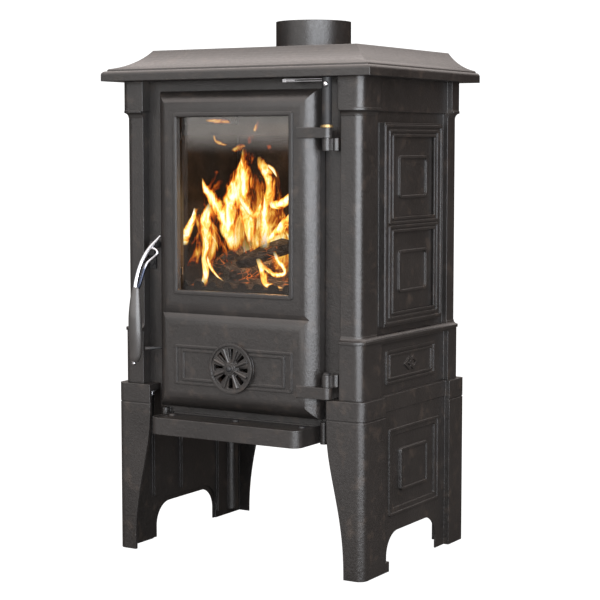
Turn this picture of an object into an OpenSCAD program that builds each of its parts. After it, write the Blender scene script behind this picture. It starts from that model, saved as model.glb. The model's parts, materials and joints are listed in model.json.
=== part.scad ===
// Free-standing cast-iron wood burning stove, assembled from separate castings.
// Front is -Y, up is +Z, and the origin is on the floor below the middle of the whole stove.

/* [Overall] */
// Width of the top plate over its cornice
cornice_w = 503; // [498:1:508]
// Depth of the top plate over its cornice
cornice_d = 385; // [382:1:388]
// Height of the flat top above the floor
top_z = 828.8; // [826.8:0.5:831.8]
// Height of the cornice underside, where the top plate sits on the case
case_top = 777.5; // [777:0.5:779]
// Outside diameter of the flue spigot
flue_od = 127; // [124:1:130]
// Height of the flue spigot above the flat top
spigot_h = 51.5; // [45:0.5:60]
// Distance of the flue's axis behind the middle of the case
flue_y = 68.5; // [60:0.5:72]

/* [Legs] */
// Width over the two leg frames
leg_w = 469; // [467:1:471]
// Depth of a leg frame
leg_d = 355; // [353:1:357]
// Height of a leg frame
leg_h = 279.5; // [279:0.5:280]
// Height of the plain band at the top of a leg frame
leg_band = 31; // [28:1:34]
// Width of a leg's front face at the floor
foot_w = 35; // [30:0.5:40]
// Width of a leg's front face at the band
knee_w = 66; // [62:0.5:68]
// Width of the arch in the side of a leg frame
arch_w = 174; // [165:1:190]
// Height of that arch
arch_h = 58; // [48:1:60]

/* [Case] */
// Width over the base section of the side castings
base_w = 452; // [450:1:454]
// Depth of the base section
base_d = 339; // [337:1:341]
// Height of the moulding between base section and shaft
base_top = 367; // [366:1:368]
// Width over the shafts of the corner pilasters
shaft_w = 444; // [443:1:445]
// Depth over the shafts of the corner pilasters
shaft_d = 331; // [330:1:332]
// Width over the capitals of the corner pilasters
capital_w = 454; // [452:1:456]
// Depth over the capitals
capital_d = 341; // [339:1:343]
// Height of the moulding under the capitals
capital_z = 719; // [717:1:720]
// Width of a pilaster's front face
pilaster_w = 35.5; // [34:0.5:37]
// Radius of the outer corners
corner_r = 14; // [12:1:15]
// Radius of the rear corners
rear_r = 8; // [6:1:10]

/* [Door] */
// Width of the door casting
door_w = 302; // [300:1:304]
// Height of the door's lower edge
door_z0 = 246; // [245:1:247]
// Height of the door's upper edge
door_z1 = 760; // [758:1:761]
// Height of the valley between the window part and the lower part
valley_z = 402; // [400:1:404]
// Width of the window opening
window_w = 211; // [208:1:212]
// Height of the window opening's lower edge
window_z0 = 440; // [438:1:442]
// Height of the window opening's upper edge
window_z1 = 718; // [716:1:720]
// Radius of the air wheel
wheel_r = 40.5; // [39:0.5:41]
// Height of the air wheel's axis
wheel_z = 319; // [318:0.5:320]
// Number of slots in the air wheel
wheel_slots = 8; // [7:1:9]

/* [Handle] */
// Height of the handle's pivot
pivot_z = 511.5; // [510.5:0.5:512.5]
// Diameter of the bright arm
arm_d = 8; // [7:0.5:8.5]
// Widest width of the grip
grip_w = 30; // [26:1:32]

/* [Hidden] */

$fn = 64;
eps = 0.01;
far = 600;

// The lip reaches further forward than anything else, so the case sits behind the origin.
lip_front = -218;
centre_y = -(lip_front + cornice_d / 2) / 2;

// Plan of the case
inner_x = shaft_w / 2 - pilaster_w;
wall_x = shaft_w / 2 - 9;
cavity_x = 208;
cavity_y = 158;
frame_y = 150;
plate_t = 9;
flange_t = 7;
// Front and rear end of the bay between the pilasters: at the legs, base, shaft and capital
leg_bay = [-105, 121];
base_bay = [-104, 131];
shaft_bay = [-113, 132];
capital_bay = [-112, 138];
// Middle of the ornament on the legs, base and shaft
leg_mid = 9;
base_mid = 10.5;
shaft_mid = 7;
arch_mid = 2;
orn_z = 154;
knee_x = leg_w / 2 - knee_w;
foot_x = leg_w / 2 - foot_w;
leg_wall = 5;
leg_recess = 9;
base_face = base_w / 2 - 8.5;
capital_face = capital_w / 2 - 9;
bottom_z = 236;
floor_z = 386;
floor_t = 10;

// Door section
door_front = -184.5;
door_edge_y = -166;
door_back = -152;
door_skin = 8.5;
ovolo_r = 30.8;
valley_r = 38;
valley_run = 19;
pocket_w = 272;
rim = (door_w - pocket_w) / 2;
bead_rise = 3;
glass_t = 4;
glass_w = window_w + 16;
glass_y = door_front + door_skin + 2;

// Hinge
hinge_x = 169.2;
hinge_y = -178;
pin_r = 4;
pin_gap = 0.05;
knuckle_r = 8.5;
frame_lug_r = 7.3;
lug_bore_r = pin_r + 0.02;
upper_lug_z = [684, 699.8];
lower_lug_z = [281.5, 299.6];
upper_frame_z = [664.5, 683.6];
lower_frame_z = [300, 319];
washer_h = 4;
washer_r = 10.2;
sleeve_z0 = upper_lug_z[1] + 0.2 + washer_h + 0.1;
sleeve_r = 7.6;
sleeve_bore_r = 6.7;
set_screw_z = 765.5;
set_screw_turn = 22;
screw_ball_r = 4.4;

// Handle pivot
pivot_x = -157.5;
shaft_r = 3.5;
ear_y = [-166, -157.2];
boss_y = -166.4;
tongue_y = [-156.9, -153.5];
wheel_y = door_front - 2.8;
wheel_t = 5;
slot_turn = 6;

lip_w = 282;
lip_z0 = 206.5;
lip_z1 = 234;
rod_x = 198;
rod_y = 130;
rod_r = 4;

// Shifts a piece from the middle of the case to the common origin.
module placed() { translate([0, centre_y, 0]) children(); }

// Box from its two corners.
module box(lo, hi) { translate(lo) cube(hi - lo); }

// Centred rectangle with round corners.
module round_rect(w, d, r) {
    square([w - 2 * r, d], center = true);
    square([w, d - 2 * r], center = true);
    for (sx = [-1, 1], sy = [-1, 1])
        translate([sx * (w / 2 - r), sy * (d / 2 - r)]) circle(r);
}

// Right-hand part of a rounded rectangle, from x_in outwards.
module side_plan(w, d, r, x_in) {
    intersection() {
        round_rect(w, d, r);
        translate([x_in, -far]) square([far, far]);
    }
    intersection() {
        round_rect(w, d, rear_r);
        translate([x_in, -1]) square([far, far]);
    }
}

// Sweeps a profile around the right-hand half of a rounded outline.
// The profile's x is the distance outside the outline, and its y is the height.
module sweep_side(w, d, r, x_in) {
    for (s = [-1, 1]) {
        end_r = s > 0 ? rear_r : r;
        translate([w / 2 - end_r, s * (d / 2 - end_r), 0])
            rotate([0, 0, s > 0 ? 0 : -90])
                rotate_extrude(angle = 90) translate([end_r, 0]) children();
        translate([s > 0 ? x_in : w / 2 - end_r, s * d / 2, 0])
            rotate([90, 0, s * 90])
                linear_extrude(w / 2 - end_r - x_in) children();
    }
    translate([w / 2, d / 2 - rear_r, 0]) rotate([90, 0, 0])
        linear_extrude(d - r - rear_r) children();
}

// Plate that stands across X: a 2D shape in (Y, Z) extruded from x0 to x1.
module across_x(x0, x1) {
    translate([x0, 0, 0]) rotate([90, 0, 90]) linear_extrude(x1 - x0) children();
}

// Plate that stands across Y: a 2D shape in (X, Z) extruded from y0 to y1.
module across_y(y0, y1) {
    translate([0, y1, 0]) rotate([90, 0, 0]) linear_extrude(y1 - y0) children();
}

// Cylinder along Y from y0 to y1.
module rod_along_y(r, y0, y1) {
    translate([0, y1, 0]) rotate([90, 0, 0]) cylinder(r = r, h = y1 - y0);
}

// Thin raised frame, as a 2D outline.
module bead_frame(w, h, r, bead) {
    difference() {
        round_rect(w, h, r);
        round_rect(w - 2 * bead, h - 2 * bead, max(r - bead, 0.5));
    }
}

// ---- Legs ----

// Inner edge of a leg's front face at height z, an S-curve from foot to knee.
function leg_edge(z) =
    let (t = pow(min(1, max(0, z / (leg_h - leg_band - 18))), 1.25))
    foot_x - (foot_x - knee_x) * t * t * (3 - 2 * t);

module leg_cut_outline() {
    steps = 18;
    z_top = leg_h - leg_band - 18;
    polygon(concat([[0, -1], [foot_x, -1]],
        [for (i = [0:steps]) [leg_edge(i * z_top / steps), i * z_top / steps]],
        [[knee_x, leg_h - leg_band], [0, leg_h - leg_band]]));
}

module arch_outline(w, h) {
    r = 38;
    translate([-w / 2, -1]) square([w, h - r + 1]);
    translate([-w / 2 + r, -1]) square([w - 2 * r, h + 1]);
    for (s = [-1, 1]) translate([s * (w / 2 - r), h - r]) circle(r);
}

module leg_frame() {
    recess_x = leg_w / 2 - leg_recess;
    inner_wall = recess_x - leg_wall;
    difference() {
        union() {
            difference() {
                linear_extrude(leg_h) side_plan(leg_w, leg_d, corner_r, knee_x);
                translate([0, -leg_d / 2 + leg_wall, -1])
                    cube([inner_wall, leg_d - 2 * leg_wall, leg_h - 9]);
                across_y(-far, far) leg_cut_outline();
                box([recess_x, leg_bay[0], -1], [far, leg_bay[1], far]);
            }
            across_x(recess_x - 1, recess_x + 2) translate([leg_mid, orn_z]) {
                bead_frame(175, 140, 3, 4);
                bead_frame(94, 68, 5, 4);
            }
            // band across the bay
            box([recess_x - 1, leg_bay[0] - 1, 254], [recess_x + 1.5, leg_bay[1] + 1, leg_h]);
            box([recess_x - 1, leg_bay[0] - 1, 0], [leg_w / 2, leg_bay[0] + 13, 16]);
        }
        across_x(recess_x - 2.5, far) translate([leg_mid, orn_z]) difference() {
            round_rect(149, 117, 3);
            round_rect(95, 69, 5);
        }
        // the arch widens towards the inside
        across_x(inner_wall - 20, far) translate([arch_mid, 0]) arch_outline(arch_w, arch_h);
        across_x(inner_wall - 20, recess_x - 2.5) translate([arch_mid - 4, 0])
            arch_outline(arch_w + 18, arch_h + 7);
        // rear edge leans in towards the floor
        across_x(0, far)
            polygon([[leg_d / 2, 170], [leg_d / 2 - 3.5, -1], [far, -1], [far, 170]]);
        // groove under the band
        translate([0, 0, leg_h - leg_band]) sweep_side(leg_w, leg_d, corner_r, knee_x - 1)
            translate([-1.2, -1.5]) square([5, 2.2]);
        // holes for the tie rods
        for (sy = [-1, 1])
            translate([rod_x, sy * rod_y, leg_h - 20]) cylinder(r = rod_r + 0.3, h = 30);
    }
    // stiffening ribs on the inner face
    for (y = [-100, -18])
        box([inner_wall - 5, y, 75], [inner_wall + 1, y + 4, leg_h - 9.5]);
    box([inner_wall - 5, 96, 12], [inner_wall + 1, 100, leg_h - 9.5]);
    // round core of the rear foot
    translate([inner_wall, 146, 9]) cylinder(r = 13, h = 195);
}

module leg_frame_right() {
    color([0.13, 0.13, 0.14]) placed() leg_frame();
}

module leg_frame_left() {
    color([0.13, 0.13, 0.14]) placed() mirror([1, 0, 0]) leg_frame();
}

// ---- Case ----

module side_ornament() {
    panel_x = shaft_w / 2 + 2;
    panel_z = 548;
    panel_h = 320;
    panel_w = 198;
    square_h = 134;
    difference() {
        translate([wall_x - 1, shaft_mid - panel_w / 2, panel_z - panel_h / 2])
            cube([panel_x - wall_x + 1, panel_w, panel_h]);
        for (z = [623, 473])
            across_x(panel_x - 3, far) translate([shaft_mid, z]) difference() {
                round_rect(148, square_h, 3);
                round_rect(97, 67, 6);
            }
        for (z = [623, 473])
            across_x(panel_x - 3, far) translate([shaft_mid, z]) round_rect(89, 59, 5);
    }
    across_x(panel_x - 1, panel_x + 2) translate([shaft_mid, panel_z]) {
        bead_frame(197, 314, 3, 4);
        for (s = [-1, 1]) translate([0, s * 75]) {
            bead_frame(170, 148, 3, 4);
            bead_frame(148, 134, 3, 4);
        }
    }
    across_x(panel_x - 4, panel_x - 0.5) for (s = [-1, 1])
        translate([shaft_mid, panel_z + s * 75]) bead_frame(97, 67, 6, 4);
}

// Plain lozenge.
module lozenge(w, h) {
    polygon([[-w / 2, 0], [0, -h / 2], [w / 2, 0], [0, h / 2]]);
}

module frieze_ornament() {
    across_x(base_face - 1, base_face + 2.2) translate([base_mid, 321.5]) {
        bead_frame(170, 54, 2, 4);
        bead_frame(148, 40, 2, 3);
        for (s = [-1, 1]) translate([s * 7, 0]) difference() {
            lozenge(34, 22);
            lozenge(20, 12);
        }
    }
}

module side_casting() {
    difference() {
        union() {
            translate([0, 0, leg_h]) linear_extrude(base_top - leg_h)
                side_plan(base_w, base_d, corner_r, inner_x);
            translate([0, 0, base_top - 1]) linear_extrude(capital_z + 10 - base_top)
                side_plan(shaft_w, shaft_d, corner_r, inner_x);
            translate([0, 0, capital_z + 9]) linear_extrude(case_top - capital_z - 9)
                side_plan(capital_w, capital_d, corner_r, inner_x - 3);
            // moulding over the base section
            translate([0, 0, base_top]) sweep_side(shaft_w, shaft_d, corner_r, inner_x)
                difference() {
                    translate([-4, 0]) square([11.5, 12]);
                    translate([8.5, 12.5]) circle(8);
                    translate([7.5, 4.5]) square([2, 9]);
                }
            // moulding under the capital
            translate([0, 0, capital_z]) sweep_side(shaft_w, shaft_d, corner_r, inner_x)
                difference() {
                    translate([-4, -1]) square([11.5, 12]);
                    translate([8.5, -1]) circle(8);
                    translate([7.5, -2]) square([2, 7]);
                }
        }
        // hollow behind the pilasters and the bay
        box([inner_x + flange_t, -cavity_y, 0], [cavity_x, cavity_y, far * 2]);
        box([inner_x - 10, -frame_y, 0], [cavity_x, frame_y, far * 2]);
        // bays between the pilasters
        box([wall_x, shaft_bay[0], base_top + 9], [far, shaft_bay[1], capital_z + 6.5]);
        box([capital_face, capital_bay[0], capital_z + 6], [far, capital_bay[1], far * 2]);
        box([base_face, base_bay[0], 0], [far, base_bay[1], base_top - 4]);
    }
    side_ornament();
    frieze_ornament();
}

module side_casting_right() {
    color([0.14, 0.14, 0.15]) placed() side_casting();
}

module side_casting_left() {
    color([0.14, 0.14, 0.15]) placed() mirror([1, 0, 0]) side_casting();
}

// Plate that closes the front or the back, between and below the side castings.
module end_plate(y0, y1) {
    plate_x = cavity_x - 0.5;
    box([-plate_x, y0, leg_h], [plate_x, y1, case_top]);
    box([-knee_x + 2, y0, bottom_z], [knee_x - 2, y1, leg_h + 1]);
}

// Lug that carries a hinge pin: a knuckle joined to the frame by a web.
module frame_lug(z) {
    difference() {
        union() {
            translate([hinge_x, hinge_y, z[0]]) cylinder(r = frame_lug_r, h = z[1] - z[0]);
            box([hinge_x, hinge_y, z[0]], [hinge_x + 14, -frame_y, z[1]]);
            translate([hinge_x, hinge_y, z[0]]) cube([frame_lug_r, 20, z[1] - z[0]]);
        }
        translate([hinge_x, hinge_y, z[0] - 1]) cylinder(r = lug_bore_r, h = z[1] - z[0] + 2);
        // hollow on the outer side of the web
        translate([hinge_x + 16, hinge_y + 4, z[0] - 1]) cylinder(r = 7, h = z[1] - z[0] + 2);
    }
}

module front_frame() {
    color([0.12, 0.12, 0.13]) placed() {
        difference() {
            end_plate(-frame_y, -frame_y + plate_t);
            across_y(-far, 0) translate([0, 524.5]) round_rect(248, 421, 8);
            across_y(-far, 0) translate([0, 283]) round_rect(248, 46, 6);
        }
        frame_lug(upper_frame_z);
        frame_lug(lower_frame_z);
        // half-round ribs at the corners of the lower rail
        for (s = [-1, 1])
            translate([s * 152, -frame_y - 6, lip_z0]) cylinder(r = 6, h = 241 - lip_z0);
        for (s = [-1, 1])
            box([s * 152 - 6, -frame_y - 6, lip_z0], [s * 152 + 6, -frame_y, 241]);
        box([-160, -frame_y, lip_z0], [160, -frame_y + plate_t, bottom_z + 1]);
    }
}

module back_plate() {
    color([0.12, 0.12, 0.13]) placed() {
        end_plate(frame_y - plate_t, frame_y);
        // raised field and stiffening ribs on the outside
        across_y(frame_y - 1, frame_y + 2.5) translate([0, 530]) {
            bead_frame(340, 440, 8, 6);
            round_rect(280, 380, 6);
        }
        box([-150, frame_y - 1, 262], [150, frame_y + 5, 268]);
        box([-150, frame_y - 1, 290], [150, frame_y + 5, 296]);
    }
}

module base_plate() {
    color([0.12, 0.12, 0.13]) placed() {
        box([-knee_x + 2, -frame_y + plate_t, bottom_z],
            [knee_x - 2, frame_y - plate_t, bottom_z + 10]);
        for (y = [-90, 0, 90])
            box([-150, y - 3, bottom_z - 8], [150, y + 3, bottom_z + 1]);
    }
}

module ash_lip() {
    depth = -frame_y - lip_front - 4;
    r = 16;
    t = 6;
    color([0.13, 0.13, 0.14]) placed() translate([0, lip_front, 0]) difference() {
        translate([0, 0, lip_z0]) linear_extrude(lip_z1 - lip_z0) intersection() {
            translate([0, (depth + 40) / 2]) round_rect(lip_w, depth + 40, r);
            translate([-far, 0]) square([far * 2, depth + 4]);
        }
        translate([0, t, lip_z0 - 1]) linear_extrude(lip_z1 - lip_z0 - t + 1)
            translate([0, (depth + 40) / 2]) round_rect(lip_w - 2 * t, depth + 40, r - t);
        // shallow tray on top that holds fallen ash
        translate([0, t, lip_z1 - 1.5]) linear_extrude(10) intersection() {
            translate([0, (depth + 40) / 2]) round_rect(lip_w - 2 * t, depth + 40, r - t);
            translate([-far, 0]) square([far * 2, depth - t]);
        }
        for (x = [-124, 0, 124])
            translate([x, depth - 22, lip_z0]) cylinder(r = 3.3, h = 40);
    }
}

module lip_screws() {
    color([0.35, 0.35, 0.36]) placed()
        for (x = [-124, 0, 124])
            translate([x, lip_front + (-frame_y - lip_front - 4) - 22, lip_z1 - 1.5]) {
                cylinder(r1 = 6, r2 = 4.5, h = 2.5);
                translate([0, 0, -14]) cylinder(r = 3, h = 14);
            }
}

// ---- Top ----

// Half section of the cornice: flat top, concave cove and upright fascia.
// run is the distance from the outer edge to the flat top.
module cornice_side(half, run) {
    nose = 6.5;
    bead = 3.5;
    nose_z = case_top + 10;
    cove_in = 11;
    cove_z = nose_z + nose + bead + 0.5;
    width = run - cove_in;
    rise = top_z - cove_z;
    r = 85;
    chord = norm([width, rise]);
    drop = sqrt(r * r - chord * chord / 4);
    mid = [half - cove_in - width / 2, cove_z + rise / 2];
    translate([-eps, case_top]) square([half + eps, nose_z - case_top]);
    // nose and bead
    translate([-eps, case_top + 1]) square([half - nose + eps, nose_z + nose - case_top - 1]);
    translate([half - nose, nose_z]) circle(nose);
    translate([-eps, case_top + 1]) square([half - cove_in + eps, cove_z - case_top - 1]);
    translate([half - cove_in, cove_z - bead]) circle(bead);
    // cove
    difference() {
        translate([-eps, cove_z - 1]) square([half - cove_in + eps, rise + 1]);
        translate(mid + drop / chord * [rise, width]) circle(r, $fn = 128);
    }
}

module top_plate() {
    side_run = 59;
    front_run = 65.5;
    shell = 9;
    rim_w = 42;
    color([0.15, 0.14, 0.14]) placed() difference() {
        intersection() {
            across_y(-cornice_d / 2, cornice_d / 2) {
                cornice_side(cornice_w / 2, side_run);
                mirror([1, 0]) cornice_side(cornice_w / 2, side_run);
            }
            across_x(-cornice_w / 2, cornice_w / 2) {
                mirror([1, 0]) cornice_side(cornice_d / 2, front_run);
                translate([-eps, case_top]) square([cornice_d / 2 + eps, top_z - case_top]);
            }
        }
        // hollow under the plate, over the firebox
        box([-cornice_w / 2 + 66, -cornice_d / 2 + 70, case_top - 1],
            [cornice_w / 2 - 66, cornice_d / 2 - rim_w, top_z - shell]);
        for (sx = [-1, 1], sy = [-1, 1])
            translate([sx * rod_x, sy * rod_y, case_top - 1]) cylinder(r = rod_r + 0.2, h = 21);
        translate([0, flue_y, top_z - 20]) cylinder(r = flue_bore_r, h = 40);
        for (a = [30, 150, 270])
            translate([0, flue_y, top_z - 12]) rotate(a)
                translate([flue_screw_r, 0, 0]) cylinder(r = 2.1, h = 20);
    }
}

flue_bore_r = 47;
flue_screw_r = 53;
flue_wall = 5;
flue_flange = 6;

module flue_collar() {
    color([0.15, 0.15, 0.16]) placed() translate([0, flue_y, top_z]) difference() {
        union() {
            cylinder(r = flue_od / 2 + 6.5, h = flue_flange - 2.5);
            cylinder(r = flue_od / 2 + 4, h = flue_flange);
            cylinder(r = flue_od / 2, h = spigot_h);
        }
        translate([0, 0, flue_flange]) cylinder(r = flue_od / 2 - flue_wall, h = spigot_h);
        translate([0, 0, -1]) cylinder(r = flue_bore_r, h = 20);
        for (a = [30, 150, 270]) rotate(a) translate([flue_screw_r, 0, 0]) {
            translate([0, 0, -1]) cylinder(r = 2.3, h = 20);
            translate([0, 0, flue_flange - 2]) cylinder(r1 = 2.3, r2 = 4.3, h = 2.01);
        }
    }
}

module flue_screws() {
    color([0.5, 0.5, 0.5]) placed() translate([0, flue_y, top_z])
        for (a = [30, 150, 270]) rotate(a) translate([flue_screw_r, 0, 0]) {
            translate([0, 0, -8]) cylinder(r = 2, h = 6.1 + flue_flange);
            translate([0, 0, flue_flange - 2]) cylinder(r1 = 2, r2 = 4, h = 1.9);
        }
}

module tie_rods() {
    color([0.5, 0.5, 0.5]) placed() for (sx = [-1, 1], sy = [-1, 1])
        translate([sx * rod_x, sy * rod_y, leg_h - 24])
            cylinder(r = rod_r, h = case_top + 18 - leg_h + 24);
}

module tie_rod_nuts() {
    color([0.5, 0.5, 0.5]) placed() for (sx = [-1, 1], sy = [-1, 1])
        translate([sx * rod_x, sy * rod_y, leg_h - 18]) difference() {
            union() {
                translate([0, 0, 6.6]) cylinder(r = 9.5, h = 1.4);
                cylinder(r = 7.5, h = 6.6, $fn = 6);
            }
            translate([0, 0, -1]) cylinder(r = rod_r + 0.02, h = 20);
        }
}

// ---- Firebox ----

module rod_notches() {
    for (sx = [-1, 1], sy = [-1, 1])
        translate([sx * rod_x, sy * rod_y, 0]) cylinder(r = rod_r + 2, h = far * 2);
}

module firebox_floor() {
    color([0.11, 0.11, 0.11]) placed() difference() {
        box([-cavity_x + 0.5, -frame_y + plate_t, floor_z],
            [cavity_x - 0.5, frame_y - plate_t, floor_z + floor_t]);
        rod_notches();
        // well for the grate, with a ledge below it
        box([-100, -90, floor_z + 4], [100, 90, floor_z + 20]);
        box([-90, -80, floor_z - 1], [90, 80, floor_z + 20]);
    }
}

module floor_posts() {
    color([0.11, 0.11, 0.11]) placed() for (sx = [-1, 1], sy = [-1, 1])
        box([sx * 158 - 6, sy * 118 - 6, bottom_z + 10], [sx * 158 + 6, sy * 118 + 6, floor_z]);
}

module grate() {
    bars = 12;
    pitch = 15.6;
    color([0.1, 0.1, 0.1]) placed() {
        difference() {
            box([-99.5, -89.5, floor_z + 4], [99.5, 89.5, floor_z + 14]);
            for (i = [0:bars - 1])
                box([(i - (bars - 1) / 2) * pitch - 4.3, -78, floor_z],
                    [(i - (bars - 1) / 2) * pitch + 4.3, 78, floor_z + 20]);
        }
    }
}

module ash_pan() {
    color([0.45, 0.46, 0.47]) placed() difference() {
        box([-112, -128, bottom_z + 10], [112, 124, bottom_z + 66]);
        box([-110.5, -126.5, bottom_z + 11.5], [110.5, 122.5, bottom_z + 90]);
        for (s = [-1, 1])
            translate([s * 30, -120, bottom_z + 52]) rotate([90, 0, 0])
                cylinder(r = 2.2, h = 20);
    }
}

module ash_pan_bail() {
    z = bottom_z + 52;
    color([0.55, 0.55, 0.55]) placed() {
        for (s = [-1, 1]) translate([s * 30, 0, z]) rod_along_y(2, -137, -124.5);
        translate([-32, -137, z]) rotate([0, 90, 0]) cylinder(r = 2, h = 64);
    }
}

module log_guard() {
    color([0.11, 0.11, 0.11]) placed() {
        difference() {
            across_y(-112, -105) union() {
                translate([0, 418]) square([340, 44], center = true);
                for (i = [-5:5]) translate([i * 29, 440]) circle(9);
            }
            for (i = [-5:4])
                across_y(-120, -100) translate([(i + 0.5) * 29, 418]) round_rect(12, 26, 5);
        }
    }
}

brick_in = 185;
brick_out = cavity_x - 0.8;
brick_z0 = floor_z + floor_t;
brick_z1 = 690;

module side_brick() {
    difference() {
        box([brick_in, -118, brick_z0], [brick_out, 116, brick_z1]);
        for (z = [brick_z0 + 98, brick_z0 + 196])
            box([brick_in - 1, -200, z - 1], [brick_in + 1.2, 200, z + 1]);
    }
}

module firebrick_left() {
    color([0.72, 0.66, 0.55]) placed() mirror([1, 0, 0]) side_brick();
}

module firebrick_right() {
    color([0.72, 0.66, 0.55]) placed() side_brick();
}

module firebrick_rear() {
    color([0.72, 0.66, 0.55]) placed() difference() {
        box([-brick_in + 0.5, 118, brick_z0], [brick_in - 0.5, frame_y - plate_t - 0.3, brick_z1]);
        for (z = [brick_z0 + 98, brick_z0 + 196])
            box([-far, 117, z - 1], [far, 119.2, z + 1]);
        for (x = [-1, 1])
            box([x * 62 - 1, 117, 0], [x * 62 + 1, 119.2, far * 2]);
    }
}

module baffle_plate() {
    color([0.68, 0.62, 0.52]) placed() difference() {
        box([-brick_out, -62, brick_z1], [brick_out, frame_y - plate_t - 0.3, brick_z1 + 18]);
        rod_notches();
    }
}

// ---- Latch keeper ----

module latch_keeper() {
    color([0.3, 0.3, 0.31]) placed() difference() {
        union() {
            box([-184.5, -frame_y - 3, 470], [-172, -frame_y, 506]);
            box([-184.5, -frame_y - 6.5, 492], [-172, -frame_y, 501]);
        }
        translate([-178.2, 0, 480]) rod_along_y(2.1, -170, -140);
    }
}

module keeper_screws() {
    color([0.5, 0.5, 0.5]) placed() translate([-178.2, 0, 480]) {
        rod_along_y(2, -frame_y - 3, -frame_y);
        rod_along_y(4, -frame_y - 5, -frame_y - 3);
    }
}

// ---- Hinge ----

module hinge_pin_upper() {
    color([0.6, 0.6, 0.6]) placed() translate([hinge_x, hinge_y, 0])
        translate([0, 0, upper_frame_z[0]]) cylinder(r = pin_r, h = 775 - upper_frame_z[0]);
}

module hinge_pin_lower() {
    color([0.7, 0.7, 0.7]) placed() translate([hinge_x, hinge_y, 0]) {
        translate([0, 0, lower_lug_z[0] - 1])
            cylinder(r = pin_r, h = lower_frame_z[1] - lower_lug_z[0] + 1);
        translate([0, 0, lower_frame_z[1]]) intersection() {
            cylinder(r = 6, h = 5);
            translate([0, 0, -2]) sphere(6.9);
        }
    }
}

module hinge_washer() {
    color([0.8, 0.62, 0.3]) placed() translate([hinge_x, hinge_y, upper_lug_z[1] + 0.2])
        difference() {
            union() {
                cylinder(r = washer_r, h = washer_h - 1.2);
                cylinder(r = washer_r - 1.2, h = washer_h);
            }
            translate([0, 0, -1]) cylinder(r = pin_r + pin_gap, h = 20);
        }
}

module hinge_sleeve() {
    color([0.25, 0.25, 0.26]) placed() translate([hinge_x, hinge_y, sleeve_z0])
        difference() {
            cylinder(r = sleeve_r, h = case_top - 1 - sleeve_z0);
            translate([0, 0, -1]) cylinder(r = sleeve_bore_r, h = 60);
            translate([0, 0, 50]) cylinder(r = pin_r + pin_gap, h = 60);
            translate([0, 0, set_screw_z - sleeve_z0]) rotate([90, 0, set_screw_turn])
                cylinder(r = 2.05, h = 20);
        }
}

// Coil of round wire around the pin, swept as one tube.
coil_turns = 9;
coil_steps = 14;
coil_sides = 8;
coil_r = 5.5;
wire_r = 0.9;
coil_h = 46;

function coil_point(i, k) =
    let (a = 360 * i / coil_steps, b = 360 * k / coil_sides,
         z = coil_h * i / (coil_turns * coil_steps))
    [(coil_r + wire_r * cos(b)) * cos(a), (coil_r + wire_r * cos(b)) * sin(a), z + wire_r * sin(b)];

module closing_spring() {
    n = coil_turns * coil_steps;
    points = [for (i = [0:n], k = [0:coil_sides - 1]) coil_point(i, k)];
    sides = [for (i = [0:n - 1], k = [0:coil_sides - 1])
        let (k2 = (k + 1) % coil_sides)
        [i * coil_sides + k, i * coil_sides + k2, (i + 1) * coil_sides + k2, (i + 1) * coil_sides + k]];
    caps = [[for (k = [coil_sides - 1:-1:0]) k],
            [for (k = [0:coil_sides - 1]) n * coil_sides + k]];
    color([0.6, 0.6, 0.6]) placed() translate([hinge_x, hinge_y, sleeve_z0 + 1.5])
        polyhedron(points, concat(sides, caps), convexity = 10);
}

module sleeve_screw() {
    color([0.8, 0.8, 0.8]) placed() translate([hinge_x, hinge_y, set_screw_z])
        rotate([90, 0, set_screw_turn]) {
            translate([0, 0, pin_r + 0.1]) cylinder(r = 2, h = 6);
            translate([0, 0, sleeve_r + screw_ball_r + 0.1]) sphere(screw_ball_r);
        }
}

module spring_arm() {
    z = 773;
    color([0.6, 0.6, 0.6]) placed() {
        for (dz = [-2, 1.2])
            translate([hinge_x - sleeve_r - 0.2, hinge_y + 2, z + dz]) rotate([0, -90, 3])
                cylinder(r = 0.8, h = 64);
        box([90, -178, z - 3], [112, -170.5, z + 2.2]);
    }
}

// ---- Door ----

// Plan of the door: flat front, quarter-round edges.
module door_plan() {
    c = door_w / 2 - 29;
    intersection() {
        union() {
            translate([-c, door_front]) square([2 * c, door_back - door_front]);
            for (s = [-1, 1]) translate([s * c, door_front + ovolo_r]) circle(ovolo_r, $fn = 128);
        }
        translate([-door_w / 2, door_front - 1]) square([door_w, door_back - door_front + 1]);
    }
}

// Upright section of one part of the door, in (Y, Z), rounded at both ends.
module door_section(z0, z1, r0, r1, run0, run1) {
    intersection() {
        union() {
            translate([door_front, z0 + run0]) square([door_back - door_front, z1 - z0 - run0 - run1]);
            translate([door_front + r0, z0 + run0]) circle(r0, $fn = 128);
            translate([door_front + r1, z1 - run1]) circle(r1, $fn = 128);
            translate([door_edge_y, z0]) square([door_back - door_edge_y, z1 - z0]);
        }
        translate([door_front - 1, z0]) square([door_back - door_front + 1, z1 - z0]);
    }
}

module door_shell_section() {
    door_section(valley_z, door_z1, valley_r, ovolo_r, valley_run, 29);
    door_section(door_z0, valley_z, ovolo_r, valley_r, 29, valley_run);
}

module door_lug(z) {
    difference() {
        union() {
            translate([hinge_x, hinge_y, z[0]]) cylinder(r = knuckle_r, h = z[1] - z[0]);
            box([door_w / 2 - 32, door_front - 2, z[0]], [hinge_x, hinge_y + 6, z[1]]);
        }
        translate([hinge_x, hinge_y, z[0] - 1]) cylinder(r = pin_r + pin_gap, h = z[1] - z[0] + 2);
    }
}

module window_outline(extra, r) {
    translate([0, (window_z0 + window_z1) / 2])
        round_rect(window_w + 2 * extra, window_z1 - window_z0 + 2 * extra, r);
}

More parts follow.
